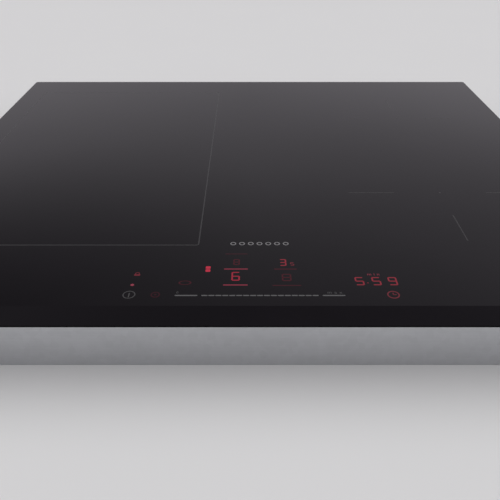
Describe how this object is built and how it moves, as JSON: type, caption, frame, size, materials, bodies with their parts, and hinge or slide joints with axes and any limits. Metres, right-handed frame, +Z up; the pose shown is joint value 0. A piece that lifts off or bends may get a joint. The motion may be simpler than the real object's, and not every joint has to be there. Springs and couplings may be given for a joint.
{
  "type": "induction hob",
  "caption": "Built-in induction cooktop: faceted glass-ceramic plate over a shallow sheet-metal casing with coils, blowers, touch unit and hinged terminal cover.",
  "frame": {"origin": "middle of the casing's underside", "axes": "+X to the cook's right, +Y to the rear, +Z up"},
  "size_m": [0.592, 0.522, 0.0565],
  "materials": {
    "glass_ceramic": "polished",
    "seal_foam": "closed-cell foam",
    "silicone": "satin",
    "zinc_steel": "hot-dip galvanised",
    "screw_steel": "bright zinc",
    "spring_steel": "rolled",
    "data_plate": "matt anodised",
    "copper_litz": "enamelled strands",
    "ferrite": "sintered, matt",
    "mica_sheet": "pressed mica on ceramic fibre",
    "aluminium_sheet": "mill finish",
    "heat_plastic": "glass-filled, matt",
    "sensor_cap": "silicone",
    "circuit_board": "solder resist",
    "sink_aluminium": "extruded",
    "package_plastic": "moulded epoxy",
    "capacitor_case": "potted box",
    "choke_winding": "enamelled wire",
    "fan_plastic": "matt",
    "display_face": "smoked",
    "light_guide_plastic": "diffusing",
    "electrode": "conductive foam",
    "terminal_plastic": "matt",
    "block_plastic": "polyamide",
    "pin_steel": "ground"
  },
  "bodies": {
    "hob": {"glass_top": "glass_ceramic", "worktop_seal": "seal_foam", "glass_adhesive": "silicone", "glass_frame": "zinc_steel", "casing_tray": "zinc_steel", "frame_screws": "screw_steel", "board_screws": "screw_steel", "clip_screws": "screw_steel", "clamp_screws": "screw_steel", "rating_plate": "data_plate", "cutout_clips": "spring_steel", "plate_springs": "spring_steel", "flex_winding_1": "copper_litz", "flex_winding_2": "copper_litz", "flex_winding_3": "copper_litz", "flex_winding_4": "copper_litz", "front_coil_winding": "copper_litz", "rear_coil_winding": "copper_litz", "flex_ferrites_1": "ferrite", "flex_ferrites_2": "ferrite", "flex_ferrites_3": "ferrite", "flex_ferrites_4": "ferrite", "front_coil_ferrites": "ferrite", "rear_coil_ferrites": "ferrite", "flex_insulator": "mica_sheet", "front_coil_insulator": "mica_sheet", "rear_coil_insulator": "mica_sheet", "flex_sensors": "sensor_cap", "front_coil_sensor": "sensor_cap", "rear_coil_sensor": "sensor_cap", "front_coil_carrier": "heat_plastic", "rear_coil_carrier": "heat_plastic", "plate_posts": "heat_plastic", "control_carrier": "heat_plastic", "coil_plate_left": "aluminium_sheet", "coil_plate_right": "aluminium_sheet", "power_board_left": "circuit_board", "power_board_right": "circuit_board", "filter_board": "circuit_board", "touch_board": "circuit_board", "heat_sink_left": "sink_aluminium", "heat_sink_right": "sink_aluminium", "power_transistors": "package_plastic", "film_capacitors": "capacitor_case", "filter_chokes": "choke_winding", "blower_housing_left": "fan_plastic", "blower_housing_right": "fan_plastic", "zone_display_left": "display_face", "zone_display_right": "display_face", "timer_display": "display_face", "indicator_lamps": "display_face", "light_guide": "light_guide_plastic", "touch_pads": "electrode", "terminal_box": "terminal_plastic", "cable_clamp": "terminal_plastic", "terminal_block": "block_plastic", "cover_pin": "pin_steel"},
    "wheel_left": {"blower_wheel_left": "fan_plastic"},
    "wheel_right": {"blower_wheel_right": "fan_plastic"},
    "cover": {"terminal_cover": "terminal_plastic"}
  },
  "joints": [
    {"name": "wheel_left_spin", "type": "hinge", "parent": "hob", "child": "wheel_left", "pos_m": [-0.15, 0.176, 0.0128], "axis": [0, 0, 1], "continuous": true},
    {"name": "wheel_right_spin", "type": "hinge", "parent": "hob", "child": "wheel_right", "pos_m": [0.03, 0.176, 0.0128], "axis": [0, 0, 1], "continuous": true},
    {"name": "cover_hinge", "type": "hinge", "parent": "hob", "child": "cover", "pos_m": [0.19, 0.24495, 0.0303], "axis": [1, 0, 0], "range_deg": [0, 110]}
  ]
}
